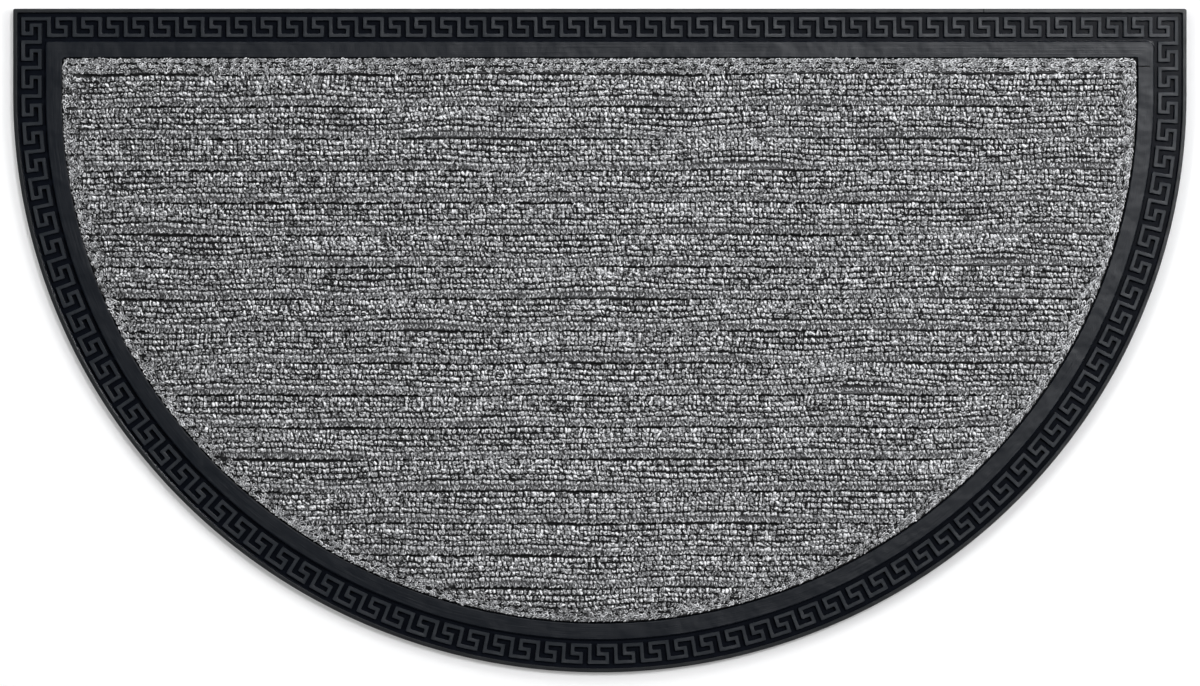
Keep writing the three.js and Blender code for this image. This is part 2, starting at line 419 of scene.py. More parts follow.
def round_side():
    """Points, inward normals and distances along the edge, from the right corner round to
    the left one."""
    angles = np.linspace(0, math.pi, EDGE_SAMPLES)
    curve = np.column_stack(
        [HALF_WIDTH * np.cos(angles), SHOULDER_Y - ROUND_REACH * np.sin(angles)]
    )
    points = np.vstack([(HALF_WIDTH, TOP_Y), curve, (-HALF_WIDTH, TOP_Y)])
    step = np.gradient(points, axis=0)
    step[0], step[-1] = (0, -1), (0, 1)
    normals = np.column_stack([step[:, 1], -step[:, 0]])
    normals /= np.linalg.norm(normals, axis=1, keepdims=True)
    lengths = np.linalg.norm(np.diff(points, axis=0), axis=1)
    return points, normals, np.concatenate([[0], np.cumsum(lengths)])


def key_line():
    """The ridge's middle line as a closed polygon of square turns."""
    start = KEY_LINE_INSETS[0]
    insets = np.array(KEY_LINE_INSETS)
    pitch = (2 * HALF_WIDTH - 2 * start) / (STRAIGHT_UNITS + 1)
    straight = key_corners(pitch, [(STRAIGHT_UNITS, pitch)])
    top = np.column_stack(
        [straight[:, 0] - HALF_WIDTH, TOP_Y - insets[straight[:, 1].astype(int)]]
    )
    points, normals, along = round_side()
    taken = FIRST_BAR + 2 * CORNER_UNITS * CORNER_UNIT_PITCH - LAST_BAR_LESS
    taken += SHOULDER_UNITS * sum(SHOULDER_UNIT_PITCHES)
    curve_run = (CURVE_UNITS, (along[-1] - 2 * start - taken) / CURVE_UNITS)
    corner_run = (CORNER_UNITS, CORNER_UNIT_PITCH)
    right_run, left_run = [(SHOULDER_UNITS, pitch) for pitch in SHOULDER_UNIT_PITCHES]
    runs = [corner_run, right_run, curve_run, left_run, corner_run]
    bent = key_corners(FIRST_BAR, runs)
    place = np.column_stack([np.interp(bent[:, 0], along, points[:, k]) for k in (0, 1)])
    inward = np.column_stack([np.interp(bent[:, 0], along, normals[:, k]) for k in (0, 1)])
    return np.vstack([top, place + inward * insets[bent[:, 1].astype(int), None]])


middle_line = key_line()
print("key:", len(middle_line), "square turns")

# %% [markdown]
# A ridge that turns this sharply can't be a plain bevelled curve, because the section would
# get thinner at each turn. So each turn becomes a few points, and each of them holds two
# sideways vectors, one for its left flank and one for its right, that keep the ridge's width
# and round the turn a little. Geometry Nodes then carries one section along the line and
# puts each point where its own vector says.

# %% Sideways vectors along the line
TURN_STEPS = 2
TURN_ROUNDING = 0.5  # a flank's radius at a turn, as a share of its distance from the line


def turned(vectors):
    """Vectors turned a quarter to the left."""
    return np.column_stack([-vectors[:, 1], vectors[:, 0]])


def flank_vectors(line):
    """For each turn and step, the left and the right flank's sideways vector."""
    ahead = np.roll(line, -1, axis=0) - line
    ahead /= np.linalg.norm(ahead, axis=1, keepdims=True)
    behind = np.roll(ahead, 1, axis=0)
    turns_left = (behind[:, 0] * ahead[:, 1] - behind[:, 1] * ahead[:, 0]) > 0
    flanks = []
    for side in (1, -1):
        first, last = side * turned(behind), side * turned(ahead)
        mitre = (first + last) / (1 + (first * last).sum(axis=1, keepdims=True))
        outer = np.where(turns_left == (side < 0), 1, -1)[:, None]
        steps = []
        for angle in np.linspace(0, math.pi / 2, TURN_STEPS + 1):
            arc = math.cos(angle) * first + math.sin(angle) * last
            steps.append(mitre * (1 - outer * TURN_ROUNDING) + outer * TURN_ROUNDING * arc)
        flanks.append(np.stack(steps, axis=1).reshape(-1, 2))
    return flanks


def closed_line(name, points):
    """A mesh that is one closed loop of edges, through flat points in millimetres."""
    count = len(points)
    mesh = bpy.data.meshes.new(name)
    flat = np.column_stack([points, np.zeros(count)]) * MM
    mesh.from_pydata(flat, [(i, (i + 1) % count) for i in range(count)], [])
    return mesh


def make_key_spine():
    """The line as a closed loop of edges, with its flank vectors."""
    points = np.repeat(middle_line, TURN_STEPS + 1, axis=0)
    mesh = closed_line("key_spine", points)
    left, right = flank_vectors(middle_line)
    add_vectors(mesh, "left_flank", left)
    add_vectors(mesh, "right_flank", right)
    add_vectors(mesh, "spine_place", points * MM)
    return mesh


key_spine = make_key_spine()
print("spine:", len(key_spine.vertices), "points")

# %% [markdown]
# The ridge's section is drawn once, as shares of its half width and its height: a leaning
# flank, a round shoulder and a nearly flat top. Its root reaches a little into the channel
# floor, where the two shells are joined later.

# %% The ridge's section
KEY_FOOT_WIDTH = 2.4
KEY_TOP = 4.3
KEY_SUNK = 0.8

HALF_RIDGE = [(1.0, 0.0), (0.9, 0.8), (0.84, 0.94), (0.72, 1.0)]  # across, up


def make_ridge_section():
    """The section as a closed loop of edges that carries its own coordinates."""
    root = -KEY_SUNK / (KEY_TOP - CHANNEL_FLOOR)
    right = [(1.0, root)] + HALF_RIDGE
    points = np.array(right + [(-x, z) for x, z in reversed(right)])
    mesh = closed_line("ridge_section", points)
    add_vectors(mesh, "section_place", points)
    return mesh


ridge_section = put_in_scene("ridge_section", make_ridge_section())
ridge_section.hide_render = True
print("ridge section:", len(ridge_section.data.vertices), "corners")

# %% [markdown]
# Each Geometry Nodes tree starts the same way, with named inputs for its sizes, so one
# function makes the group and its sockets. Another sets the modifier's inputs by each
# socket's identifier, takes the finished shape as a plain mesh and removes the modifier.

# %% Helpers for Geometry Nodes
def new_tree(name, inputs):
    """A Geometry Nodes group. inputs is a list of (name, socket type)."""
    tree = bpy.data.node_groups.new(name, "GeometryNodeTree")
    tree.interface.new_socket("Geometry", in_out="INPUT", socket_type="NodeSocketGeometry")
    tree.interface.new_socket("Geometry", in_out="OUTPUT", socket_type="NodeSocketGeometry")
    for socket_name, kind in inputs:
        tree.interface.new_socket(socket_name, in_out="INPUT", socket_type=kind)
    return tree, tree.nodes.new("NodeGroupInput"), tree.nodes.new("NodeGroupOutput")


def run_tree(tree, mesh, name, values):
    """Runs a tree on a mesh and returns the result as a new plain object."""
    source = put_in_scene(name + "_source", mesh)
    modifier = source.modifiers.new(tree.name, "NODES")
    modifier.node_group = tree
    for item in tree.interface.items_tree:
        if item.item_type == "SOCKET" and item.in_out == "INPUT" and item.name in values:
            modifier[item.identifier] = values[item.name]
    evaluated = source.evaluated_get(bpy.context.evaluated_depsgraph_get())
    result = bpy.data.meshes.new_from_object(evaluated)
    result.name = name
    source.modifiers.remove(modifier)
    bpy.data.objects.remove(source)
    return put_in_scene(name, result)


def named(tree, attribute, kind="FLOAT_VECTOR"):
    """The output of a Named Attribute node."""
    return add_node(tree, "GeometryNodeInputNamedAttribute", {"Name": attribute},
                    data_type=kind).outputs["Attribute"]


# %% [markdown]
# The tree turns the spine and the section into curves and sweeps one along the other. What
# comes out has the right faces but thin turns, so each point is then placed afresh: from its
# place on the spine, sideways by its own flank vector, and up by its place in the section.

# %% The key's Geometry Nodes tree
def key_tree():
    tree, group_in, group_out = new_tree("running_key", [
        ("Section", "NodeSocketObject"),
        ("Half Width", "NodeSocketFloat"),
        ("Height", "NodeSocketFloat"),
        ("Floor", "NodeSocketFloat"),
    ])
    given = group_in.outputs
    spine = value_of(tree, "GeometryNodeMeshToCurve", {"Mesh": given["Geometry"]})
    section = add_node(tree, "GeometryNodeObjectInfo", {"Object": given["Section"]})
    profile = value_of(tree, "GeometryNodeMeshToCurve", {"Mesh": section.outputs["Geometry"]})
    swept = value_of(tree, "GeometryNodeCurveToMesh", {"Curve": spine, "Profile Curve": profile})

    place = add_node(tree, "ShaderNodeSeparateXYZ", {0: named(tree, "section_place")}).outputs
    on_left = value_of(tree, "FunctionNodeCompare", {0: place["X"], 1: 0.0},
                       data_type="FLOAT", operation="GREATER_THAN")
    flank = value_of(tree, "GeometryNodeSwitch", {
        "Switch": on_left, "False": named(tree, "right_flank"), "True": named(tree, "left_flank"),
    }, input_type="VECTOR")
    distance = calculate(tree, "ABSOLUTE", place["X"])
    sideways = scaled(tree, flank, calculate(tree, "MULTIPLY", distance, given["Half Width"]))
    up = calculate(tree, "MULTIPLY_ADD", place["Y"], given["Height"], given["Floor"])
    lift = value_of(tree, "ShaderNodeCombineXYZ", {"Z": up})
    final = added(tree, added(tree, named(tree, "spine_place"), sideways), lift)
    placed = value_of(tree, "GeometryNodeSetPosition", {"Geometry": swept, "Position": final})
    real = value_of(tree, "GeometryNodeRealizeInstances", {"Geometry": placed})
    tree.links.new(real, group_out.inputs[0])
    return tree


key_ridge = run_tree(key_tree(), key_spine, "key_ridge", {
    "Section": ridge_section,
    "Half Width": KEY_FOOT_WIDTH / 2 * MM,
    "Height": (KEY_TOP - CHANNEL_FLOOR) * MM,
    "Floor": CHANNEL_FLOOR * MM,
})
print("key ridge:", len(key_ridge.data.polygons), "faces")

# %% [markdown]
# The real border is one moulding, so the ridge and the plain form are joined into one closed
# skin. The corners that the mould rounded are shaded smooth, and the others stay crisp. The
# shading normals are weighted by area, so that the wide flats of the band, the lip and the
# key's top shade as flats right up to their rounded edges.

# %% Join the ridge and the moulding
SHARP_ANGLE = math.radians(38)


def face_outwards(mesh):
    """Turns a closed mesh's faces outwards, going by its signed volume."""
    mesh.calc_loop_triangles()
    places = np.array([v.co for v in mesh.vertices])
    corners = places[np.array([t.vertices for t in mesh.loop_triangles])]
    volume = np.einsum("ij,ij->i", corners[:, 0], np.cross(corners[:, 1], corners[:, 2])).sum()
    if volume < 0:
        mesh.flip_normals()
    return abs(volume) / 6


def tidy_mesh(mesh):
    """Drops attributes that only the making needed, and shades it smooth."""
    for attribute in [a.name for a in mesh.attributes if a.name.endswith(("_flank", "_place"))]:
        mesh.attributes.remove(mesh.attributes[attribute])
    mesh.polygons.foreach_set("use_smooth", [True] * len(mesh.polygons))
    mesh.set_sharp_from_angle(angle=SHARP_ANGLE)


def baked(made, modifier):
    """Puts a modifier's result into an object's mesh, and removes the modifier."""
    result = bpy.data.meshes.new_from_object(
        made.evaluated_get(bpy.context.evaluated_depsgraph_get())
    )
    made.modifiers.remove(modifier)
    made.data = result
    result.name = made.name
    return result


face_outwards(moulding.data)
face_outwards(key_ridge.data)
union = moulding.modifiers.new("join_key", "BOOLEAN")
union.operation = "UNION"
union.solver = "MANIFOLD"
union.object = key_ridge
joined = baked(moulding, union)
bpy.data.objects.remove(key_ridge)
tidy_mesh(joined)
level = moulding.modifiers.new("keep_flats_flat", "WEIGHTED_NORMAL")
level.keep_sharp = True
joined = baked(moulding, level)
rubber_volume = face_outwards(joined) / MM**3 / 1000
print(f"rubber: {len(joined.polygons)} faces, {rubber_volume:.0f} cm3")

# %% [markdown]
# The mould was milled along its border, and the rubber keeps faint streaks that follow it.
# So each point of the moulding stores how far along the border and how far in it lies, and
# the rubber's material draws the streaks in those coordinates.

# %% Where each point lies on the border
DRIFT_MM = 100.0


def border_run(x, y, inset):
    """Distance along the border from the middle of the straight edge, to either side. Less
    twice the inset past the corner, the runs of two sides are equal where they meet."""
    across = np.abs(x)
    side = HALF_WIDTH + TOP_Y - y - 2 * inset
    around = np.arctan2(SHOULDER_Y - y, across)
    round_part = HALF_WIDTH + SHORT_SIDE + around * HALF_WIDTH - 2 * inset
    on_top = (y > SHOULDER_Y) & (TOP_Y - y < HALF_WIDTH - across)
    return np.select([on_top, y > SHOULDER_Y], [across, side], round_part)


def store_border_run(mesh):
    """The run, the inset, and a slow drift that keeps the two halves of the mat unlike."""
    places = np.array([v.co for v in mesh.vertices]) / MM
    x, y = places[:, 0], places[:, 1]
    inset = inset_of(x, y)
    run = border_run(x, y, inset)
    add_vectors(mesh, "border", np.column_stack([run, inset, x / DRIFT_MM]))
    return run


border_runs = store_border_run(joined)
print(f"half the border's run: {border_runs.max():.0f} mm")

# %% [markdown]
# The rubber is a black filled SBR compound, pressed in a steel mould. What stands proud was
# rubbed in packing and handling, so the band, the key's top and the lip are duller, and look
# a little greyer. The key's top is painted lighter still, which is painted sheen as well as
# wear. The channel keeps the compound's bluish black and the mould's smooth skin.
# The raised parts carry a fine sandy grain from the etched mould. The flats aren't quite
# flat, because thick rubber shrinks unevenly as it cools, and the mould's joints left two
# short dark lines.

# %% Pressed rubber
FRESH_BLACK = "10131a"
RUBBED_BLACK = "0a0f16"
DUSTY_BLACK = "13171d"
# lighter grey on the key's top: wear, and painted sheen
KEY_WEAR_AND_SHEEN = "1e2227"
WORN_LIP = "1f2123"
JOINT_BLACK = "010101"
MOULD_GRAIN = (0.45, 0.0175)  # size and height, in millimetres
SHRINKING = (17.0, 1.1)
MILLING = (1.0, 0.12)
STREAK_LENGTH = 22.0  # in sizes of the milling marks
FLOW_PATCH_MM = 28.0
FRESH_ROUGHNESS = 0.18
RUBBED_ROUGHNESS = 0.47
RUBBED_FROM_MM = CHANNEL_FLOOR + 0.9
RUBBED_ABOVE_MM = 4.0
LIP_FADE = (0.6, 0.1)  # past the lip, where its own colour starts and is full
KEY_LIMIT = CHANNEL_END - 1.0
GRAIN_IN_CHANNEL = 0.1  # how much of the relief shows on the channel's smooth skin
JOINT_ROUGHNESS = 0.5
MOULD_JOINTS = [(324.4, 163.5, 3.6, 0.35), (229.0, 196.7, 0.4, 1.2)]  # x, y, half sizes


def joint_share(tree, place):
    """1 in a joint's box, and 0 elsewhere."""
    across, along = part_of(tree, place, "X"), part_of(tree, place, "Y")
    inside = []
    for x, y, half_x, half_y in MOULD_JOINTS:
        in_x = calculate(tree, "COMPARE", across, x * MM, half_x * MM)
        in_y = calculate(tree, "COMPARE", along, y * MM, half_y * MM)
        inside.append((calculate(tree, "MULTIPLY", in_x, in_y), 1.0))
    return weigh(tree, inside, 0.0)


def pressed_rubber():
    material, tree = new_material("pressed_rubber")
    place = add_node(tree, "ShaderNodeTexCoord").outputs["Object"]
    border = stored(tree, "border", "Vector")
    inset = part_of(tree, border, "Y")
    rubbed = fade(tree, part_of(tree, place, "Z"), RUBBED_FROM_MM * MM, RUBBED_ABOVE_MM * MM,
                  kind="SMOOTHSTEP")
    on_lip = fade(tree, inset, LIP_WIDTH + LIP_FADE[0], LIP_WIDTH + LIP_FADE[1])
    key_wear_and_sheen_share = calculate(tree, "LESS_THAN", inset, KEY_LIMIT)
    joint = joint_share(tree, place)
    drawn_out = value_of(tree, "ShaderNodeMapping", {
        "Vector": border, "Scale": (1 / STREAK_LENGTH, 1.0, 1.0),
    })
    milling = noise(tree, drawn_out, MILLING[0], 2.0, 0.6)
    grain = noise(tree, place, MOULD_GRAIN[0] * MM, 3.0, 0.6)
    shrinking = noise(tree, place, SHRINKING[0] * MM, 2.0, 0.5)
    patches = noise(tree, place, FLOW_PATCH_MM * MM, 4.0, 0.62)

    dust = weigh(tree, [(patches, 1.0), (milling, 1.2)], -0.6)
    band = mix_colours(tree, dust, RUBBED_BLACK, DUSTY_BLACK)
    # The key's top gets its lighter grey here, which is partly painted sheen.
    inner = mix_colours(tree, key_wear_and_sheen_share, band, KEY_WEAR_AND_SHEEN)
    raised = mix_colours(tree, on_lip, inner, WORN_LIP)
    colour = mix_colours(tree, rubbed, FRESH_BLACK, raised)
    relief = [(grain, MOULD_GRAIN[1]), (shrinking, SHRINKING[1]), (milling, MILLING[1])]
    shown = weigh(tree, [(rubbed, 1 - GRAIN_IN_CHANNEL)], GRAIN_IN_CHANNEL)
    duller = [(rubbed, RUBBED_ROUGHNESS - FRESH_ROUGHNESS), (joint, JOINT_ROUGHNESS)]
    add_surface(tree, {
        "Base Color": mix_colours(tree, joint, colour, JOINT_BLACK),
        "Roughness": weigh(tree, duller, FRESH_ROUGHNESS),
        "Normal": bump(tree, weigh(tree, relief, 0.0), shown, MM), "Specular IOR Level": 0.8,
    })
    return material


moulding.data.materials.clear()
moulding.data.materials.append(pressed_rubber())
print("rubber finish:", len(moulding.data.materials[0].node_tree.nodes), "nodes")

# %% [markdown]
# The carpet is tufted: each row is one bulky yarn that a needle pushed through a backing,
# and it stands up in loops, about four to the centimetre. Then a press bonded it to the
# rubber and squeezed it into ribs, six rows to each. The first four rows of a rib stand, the
# fifth leans over, and the sixth was crushed into the valley, up against the next rib. A
# margin all round was crushed too, with its loops laid over beside the edge.
#
# The same few numbers shape the backing and place the loops, so they stand here together.

# %% The carpet's sizes
FIRST_RIB_INSET = 39.65
RIB_PITCH = 19.13
ROWS_PER_RIB = 6
ROW_PITCH = RIB_PITCH / ROWS_PER_RIB
STITCH_PITCH = 2.35
STEEP_SIDE = 0.5  # how wide a rib's steep side is
RIB_CREST = 12.6  # from there to the end of its standing rows
RIB_FOOT = 15.7
MARGIN_WIDTH = 8.8
MARGIN_TOP = 5.9
MARGIN_END = CARPET_INSET + MARGIN_WIDTH
MARGIN_FADE = 1.0  # how far on either side of its end the crushed margin fades
RIB_FADE = 1.5  # how far past the margin a rib has its full height
print(f"rows {ROW_PITCH:.2f} mm apart, stitches {STITCH_PITCH} mm apart")


def smooth_step(low, high, value):
    share = np.clip((value - low) / (high - low), 0, 1)
    return share * share * (3 - 2 * share)


def across_rib(y):
    """How far south of a rib's steep side a point is."""
    return np.mod(TOP_Y - FIRST_RIB_INSET - y, RIB_PITCH)


def past_margin(x, y, reach):
    """0 in the crushed margin, and 1 from a reach past its end."""
    return smooth_step(MARGIN_END - MARGIN_FADE, MARGIN_END + reach, inset_of(x, y))


def rib_share(x, y):
    """How far the pile rises there, from 0 in a valley or the margin to 1 on a rib."""
    across = across_rib(y)
    rises = smooth_step(0.0, STEEP_SIDE, across) * (1 - smooth_step(RIB_CREST, RIB_FOOT, across))
    return rises * past_margin(x, y, RIB_FADE)


def pile_top(x, y):
    return MARGIN_TOP + (RIB_TOP - MARGIN_TOP) * rib_share(x, y)


# %% [markdown]
# Under the loops lies the backing, a woven sheet soaked with latex and felted with loose
# fibre. Between standing loops it is coloured dark, which is painted shade for the little
# light that gets down to it. Where the pile was crushed it is full of grey fibre, and beside
# each rib's steep side the press cut a furrow, whose black is painted shade as well. It is one
# closed sheet: a grid of points, doubled for thickness. The grid's lines crowd where the
# height changes, and are few where it doesn't.

# %% The backing sheet
BELOW_STANDING = 1.7  # how far the backing is below the pile's top
BELOW_CRUSHED = 1.5
FURROW_DEPTH = 1.6
FURROW_HALF_FLOOR = 0.5
FURROW_HALF_WIDTH = 1.5
BACKING_INSET = CARPET_INSET + 0.6
TIP_LINES = (0.3, 1.1, 2.8)  # grid lines near the round edge's lowest point
TOP_LINES = (0.0, 1.6)  # and near the straight edge
# Grid lines of each rib, by their distance south of its steep side, then the grid's columns
# as shares of half the carpet's width there.
GRID_ACROSS = [0.0, 0.5, 0.9, 1.6, 6.0, 12.1, 13.0, 13.9, 14.8, 17.6, 18.3, 18.8]
GRID_SPREAD = [0.3, 0.6, 0.85, 0.93, 0.955, 0.975, 0.993, 1.0]
RIB_NUMBERS = range(-1, 19)  # a few too many, and the lines off the carpet are dropped


def half_span(y, inset):
    """Half the half-moon's width at a height y, for an outline at an inset."""
    drop = np.clip((SHOULDER_Y - y) / (ROUND_REACH - inset), 0, 1)
    return (HALF_WIDTH - inset) * np.sqrt(1 - drop**2)


def furrow_share(x, y):
    """1 in the furrow beside a steep side, 0 away from it."""
    across = across_rib(y)
    near = np.minimum(across, RIB_PITCH - across)
    inside = 1 - smooth_step(FURROW_HALF_FLOOR, FURROW_HALF_WIDTH, near)
    return inside * past_margin(x, y, RIB_FADE)


def backing_top(x, y):
    rise = rib_share(x, y)
    below = BELOW_CRUSHED + (BELOW_STANDING - BELOW_CRUSHED) * rise
    return pile_top(x, y) - below - FURROW_DEPTH * furrow_share(x, y)


def grid_lines():
    """The grid's heights, from the straight edge down."""
    tips = SHOULDER_Y - ROUND_REACH + BACKING_INSET + np.array(TIP_LINES)
    tops = TOP_Y - BACKING_INSET - np.array(TOP_LINES)
    ribs = TOP_Y - FIRST_RIB_INSET - RIB_PITCH * np.array(RIB_NUMBERS)
    ys = (ribs[:, None] - np.array(GRID_ACROSS)).ravel()
    ys = np.sort(np.concatenate([tips, tops, ys]))[::-1]
    return ys[(ys >= tips[0]) & (ys <= tops[0])]


def make_backing():
    ys = grid_lines()
    spread = np.array(GRID_SPREAD)
    xs = half_span(ys, BACKING_INSET)[:, None] * np.concatenate([-spread[::-1], [0], spread])
    grid_y = np.repeat(ys[:, None], xs.shape[1], axis=1)
    upper = np.column_stack([xs.ravel(), grid_y.ravel(), backing_top(xs, grid_y).ravel()])
    lower = upper.copy()
    lower[:, 2] = CARPET_UNDERSIDE
    rows, columns = xs.shape
    count = rows * columns
    faces = []
    for r in range(rows - 1):
        for c in range(columns - 1):
            a = r * columns + c
            quad = [a, a + columns, a + columns + 1, a + 1]
            faces += [quad, [v + count for v in reversed(quad)]]
    rim = list(range(columns))
    rim += [r * columns + columns - 1 for r in range(1, rows)]
    rim += [(rows - 1) * columns + c for c in range(columns - 2, -1, -1)]
    rim += [r * columns for r in range(rows - 2, 0, -1)]
    for a, b in zip(rim, rim[1:] + rim[:1]):
        faces.append([a, b, b + count, a + count])
    made = make_object("carpet_backing", np.vstack([upper, lower]), faces)
    x, y = upper[:, :2].T
    # Under the standing pile and in the furrows the backing gets the dark weave colour, which is
    # painted shade.
    painted_shade_share = np.maximum(rib_share(x, y), furrow_share(x, y))
    fibre = past_margin(x, y, MARGIN_FADE) * (1 - painted_shade_share)
    add_numbers(made.data, "fibre", np.concatenate([fibre, 0 * fibre]))
    return made


backing = make_backing()
face_outwards(backing.data)
print("backing:", len(backing.data.polygons), "faces")

# %% [markdown]
# Two kinds of loop cover the backing. A standing loop is a bulky arch with a broad section,
# because its neighbours squeeze it. A crushed one is a thinner hairpin of yarn that lies on
# its side. Some twenty-five thousand are needed, so each has fewer than twenty faces, and
# smooth shading makes it look round. A few variants of each, bent a little at random from a
# fixed seed, keep the pile from looking stamped. Each point also keeps its place on the yarn,
# measured from the crown, so that the material can run the plies along the strand whichever
# way the loop leans. A small chart of each loop keeps room for a baked texture.

# %% The forms of loop
# Rings from root to root: x, height, outward direction in x and z, half the yarn's depth and
# half its width across the loop's plane.
STANDING_RINGS = [
    (-0.42, 0.30, -1.00, 0.00, 0.38, 1.00),
    (-0.52, 1.95, -0.80, 0.60, 0.47, 1.40),
    (0.00, 2.36, 0.00, 1.00, 0.52, 1.50),
    (0.52, 1.95, 0.80, 0.60, 0.47, 1.40),
    (0.42, 0.30, 1.00, 0.00, 0.38, 1.00),
]
CRUSHED_RINGS = [
    (-0.74, 0.00, -1.00, 0.00, 0.44, 0.42),
    (-0.88, 1.25, -0.97, 0.22, 0.52, 0.48),
    (-0.46, 2.20, -0.55, 0.83, 0.54, 0.52),
    (0.46, 2.20, 0.55, 0.83, 0.54, 0.52),
    (0.88, 1.25, 0.97, 0.22, 0.52, 0.48),
    (0.74, 0.00, 1.00, 0.00, 0.44, 0.42),
]
# The yarn's section, as shares of its depth outwards and of its width across. The standing
# loop's outside is narrower, so that its flanks slope. The crushed one's ridge lies on top.
STANDING_SECTION = [(1.0, -0.84), (1.0, 0.84), (-0.9, 0.97), (-0.9, -0.97)]
CRUSHED_SECTION = [(0.0, -1.0), (1.0, 0.55), (-1.0, 0.55)]
FORMS_OF_EACH = 4
STANDING_BEND = 0.1  # how far a form's rings stray, in millimetres
CRUSHED_BEND = 0.2
SECTION_TWIST = 0.16
CAP_STRIP = 0.12  # the part of a loop's chart that its two cut ends share
CAP_SIZE = 0.1
FORM_SEED = 3


def make_yarn_form(name, rings, section, bend, randoms):
    """One loop as a closed mesh, with its places on the yarn and its chart."""
    vertices, strand = [], []
    along, last_place = 0.0, None
    sides = len(section)
    for x, z, out_x, out_z, depth, width in rings:
        place = np.array([x, 0.0, z]) + bend * randoms.normal(size=3)
        twist = SECTION_TWIST * randoms.normal()
        along += 0.0 if last_place is None else np.linalg.norm(place - last_place)
        last_place = place
        for share_out, share_across in section:
            out = depth * (share_out - twist * share_across)
            across = width * (share_across + twist * share_out)
            vertices.append(place + (out * out_x, across, out * out_z))
            strand.append((along, across, out))
    strand = np.array(strand) - (along / 2, 0, 0)
    cap_corners = [(0, 0), (CAP_SIZE, 0), (CAP_SIZE, CAP_SIZE), (0, CAP_SIZE)]
    cap_chart = cap_corners[:sides]
    faces, chart = [list(range(sides))[::-1]], list(cap_chart)
    steps = len(rings) - 1
    for ring in range(steps):
        for side in range(sides):
            a = ring * sides + side
            b = ring * sides + (side + 1) % sides
            faces.append([a, b, b + sides, a + sides])
            low, high = (CAP_STRIP + (1 - CAP_STRIP) * r / steps for r in (ring, ring + 1))
            near, far = side / sides, (side + 1) / sides
            chart += [(near, low), (far, low), (far, high), (near, high)]
    faces.append([steps * sides + i for i in range(sides)])
    chart += [(u + 2 * CAP_SIZE, v) for u, v in cap_chart]
    mesh = bpy.data.meshes.new(name)
    mesh.from_pydata(np.array(vertices) * MM, [], faces)
    add_vectors(mesh, "strand", strand)
    mesh.uv_layers.new(name="loop_chart").data.foreach_set("uv", np.ravel(chart))
    mesh.polygons.foreach_set("use_smooth", [True] * len(faces))
    face_outwards(mesh)
    return mesh


def make_yarn_forms():
    """All the forms, in a collection that Geometry Nodes picks from by number."""
    randoms = np.random.default_rng(FORM_SEED)
    forms = bpy.data.collections.new("yarn_forms")
    kinds = [
        ("standing", STANDING_RINGS, STANDING_SECTION, STANDING_BEND),
        ("crushed", CRUSHED_RINGS, CRUSHED_SECTION, CRUSHED_BEND),
    ]
    for number in range(2 * FORMS_OF_EACH):
        kind, rings, section, bend = kinds[number // FORMS_OF_EACH]
        name = f"yarn_form_{number}_{kind}"
        mesh = make_yarn_form(name, rings, section, bend, randoms)
        forms.objects.link(bpy.data.objects.new(name, mesh))
    return forms


yarn_forms = make_yarn_forms()

# %% [markdown]
# The stitch plan says where each loop is rooted. The rows follow the tufting machine, which
# wanders about half a millimetre, and rise a little to the right. The first row of a rib and
# the last lie nearest to a furrow, and the press held them there. The rows between stray by
# about a millimetre. Each stitch is about a fifth of a millimetre off by itself. Light and
# dark yarn come in short runs along a row, because one strand makes the whole row. The
# crushed margin gets some extra loops to close it, and one close row of them follows the cut
# edge.

# %% The stitch plan
PLAN_SEED = 11
ROW_TILT = 0.0022
ROW_STRAY = [0.05, 0.6, 1.1, 1.3, 1.1, 0.45]  # how far rows 1 to 6 of a rib stray by themselves
ROW_SHIFT = [-0.15, 0.0, 0.1, 0.05, 0.2, 0.65]  # and how far the press crowded them
# Each slow wave has a length, and moves on by some steps from one rib or row to the next.
WANDER = 0.6
WANDER_LENGTH = 90
WANDER_STEPS = 6
STRAY_LENGTH = 100
STRAY_STEPS = 23
WOBBLE = 0.2
WOBBLE_LENGTH = 19
WOBBLE_STEPS = 9
RUN_LOOPS = 4  # how many loops a run of light or dark yarn takes
STITCH_JITTER = (0.21, 0.14)
TRIED_PLACES = 60000
EXTRA_MARGIN_LOOPS = 2400
EDGE_CLEARANCE = 1.5
EDGE_ROW_INSET = CARPET_INSET + 1.9
OFF_CENTRE = (-0.3, 0.25)  # the carpet lies a little left and up in its recess
EDGE_ROW_PITCH = 2.1

plan_random = np.random.default_rng(PLAN_SEED)


def slow_drift(x, row, length, phase):
    """A slow wave along a row, about 1 high, that neighbouring rows share."""
    waves = [np.sin(x * 2 * math.pi / (length * k) + row * 0.05 * k + phase[k - 1])
             for k in (1, 2, 3)]
    return sum(waves) / 2


def run_noise(count, length):
    """Random numbers with a spread of 1 that stay alike over a run of loops."""
    raw = plan_random.normal(size=count + 4 * length)
    kernel = np.hanning(length + 2)[1:-1]
    smooth = np.convolve(raw, kernel / np.sqrt((kernel**2).sum()), mode="same")
    return smooth[2 * length:2 * length + count]


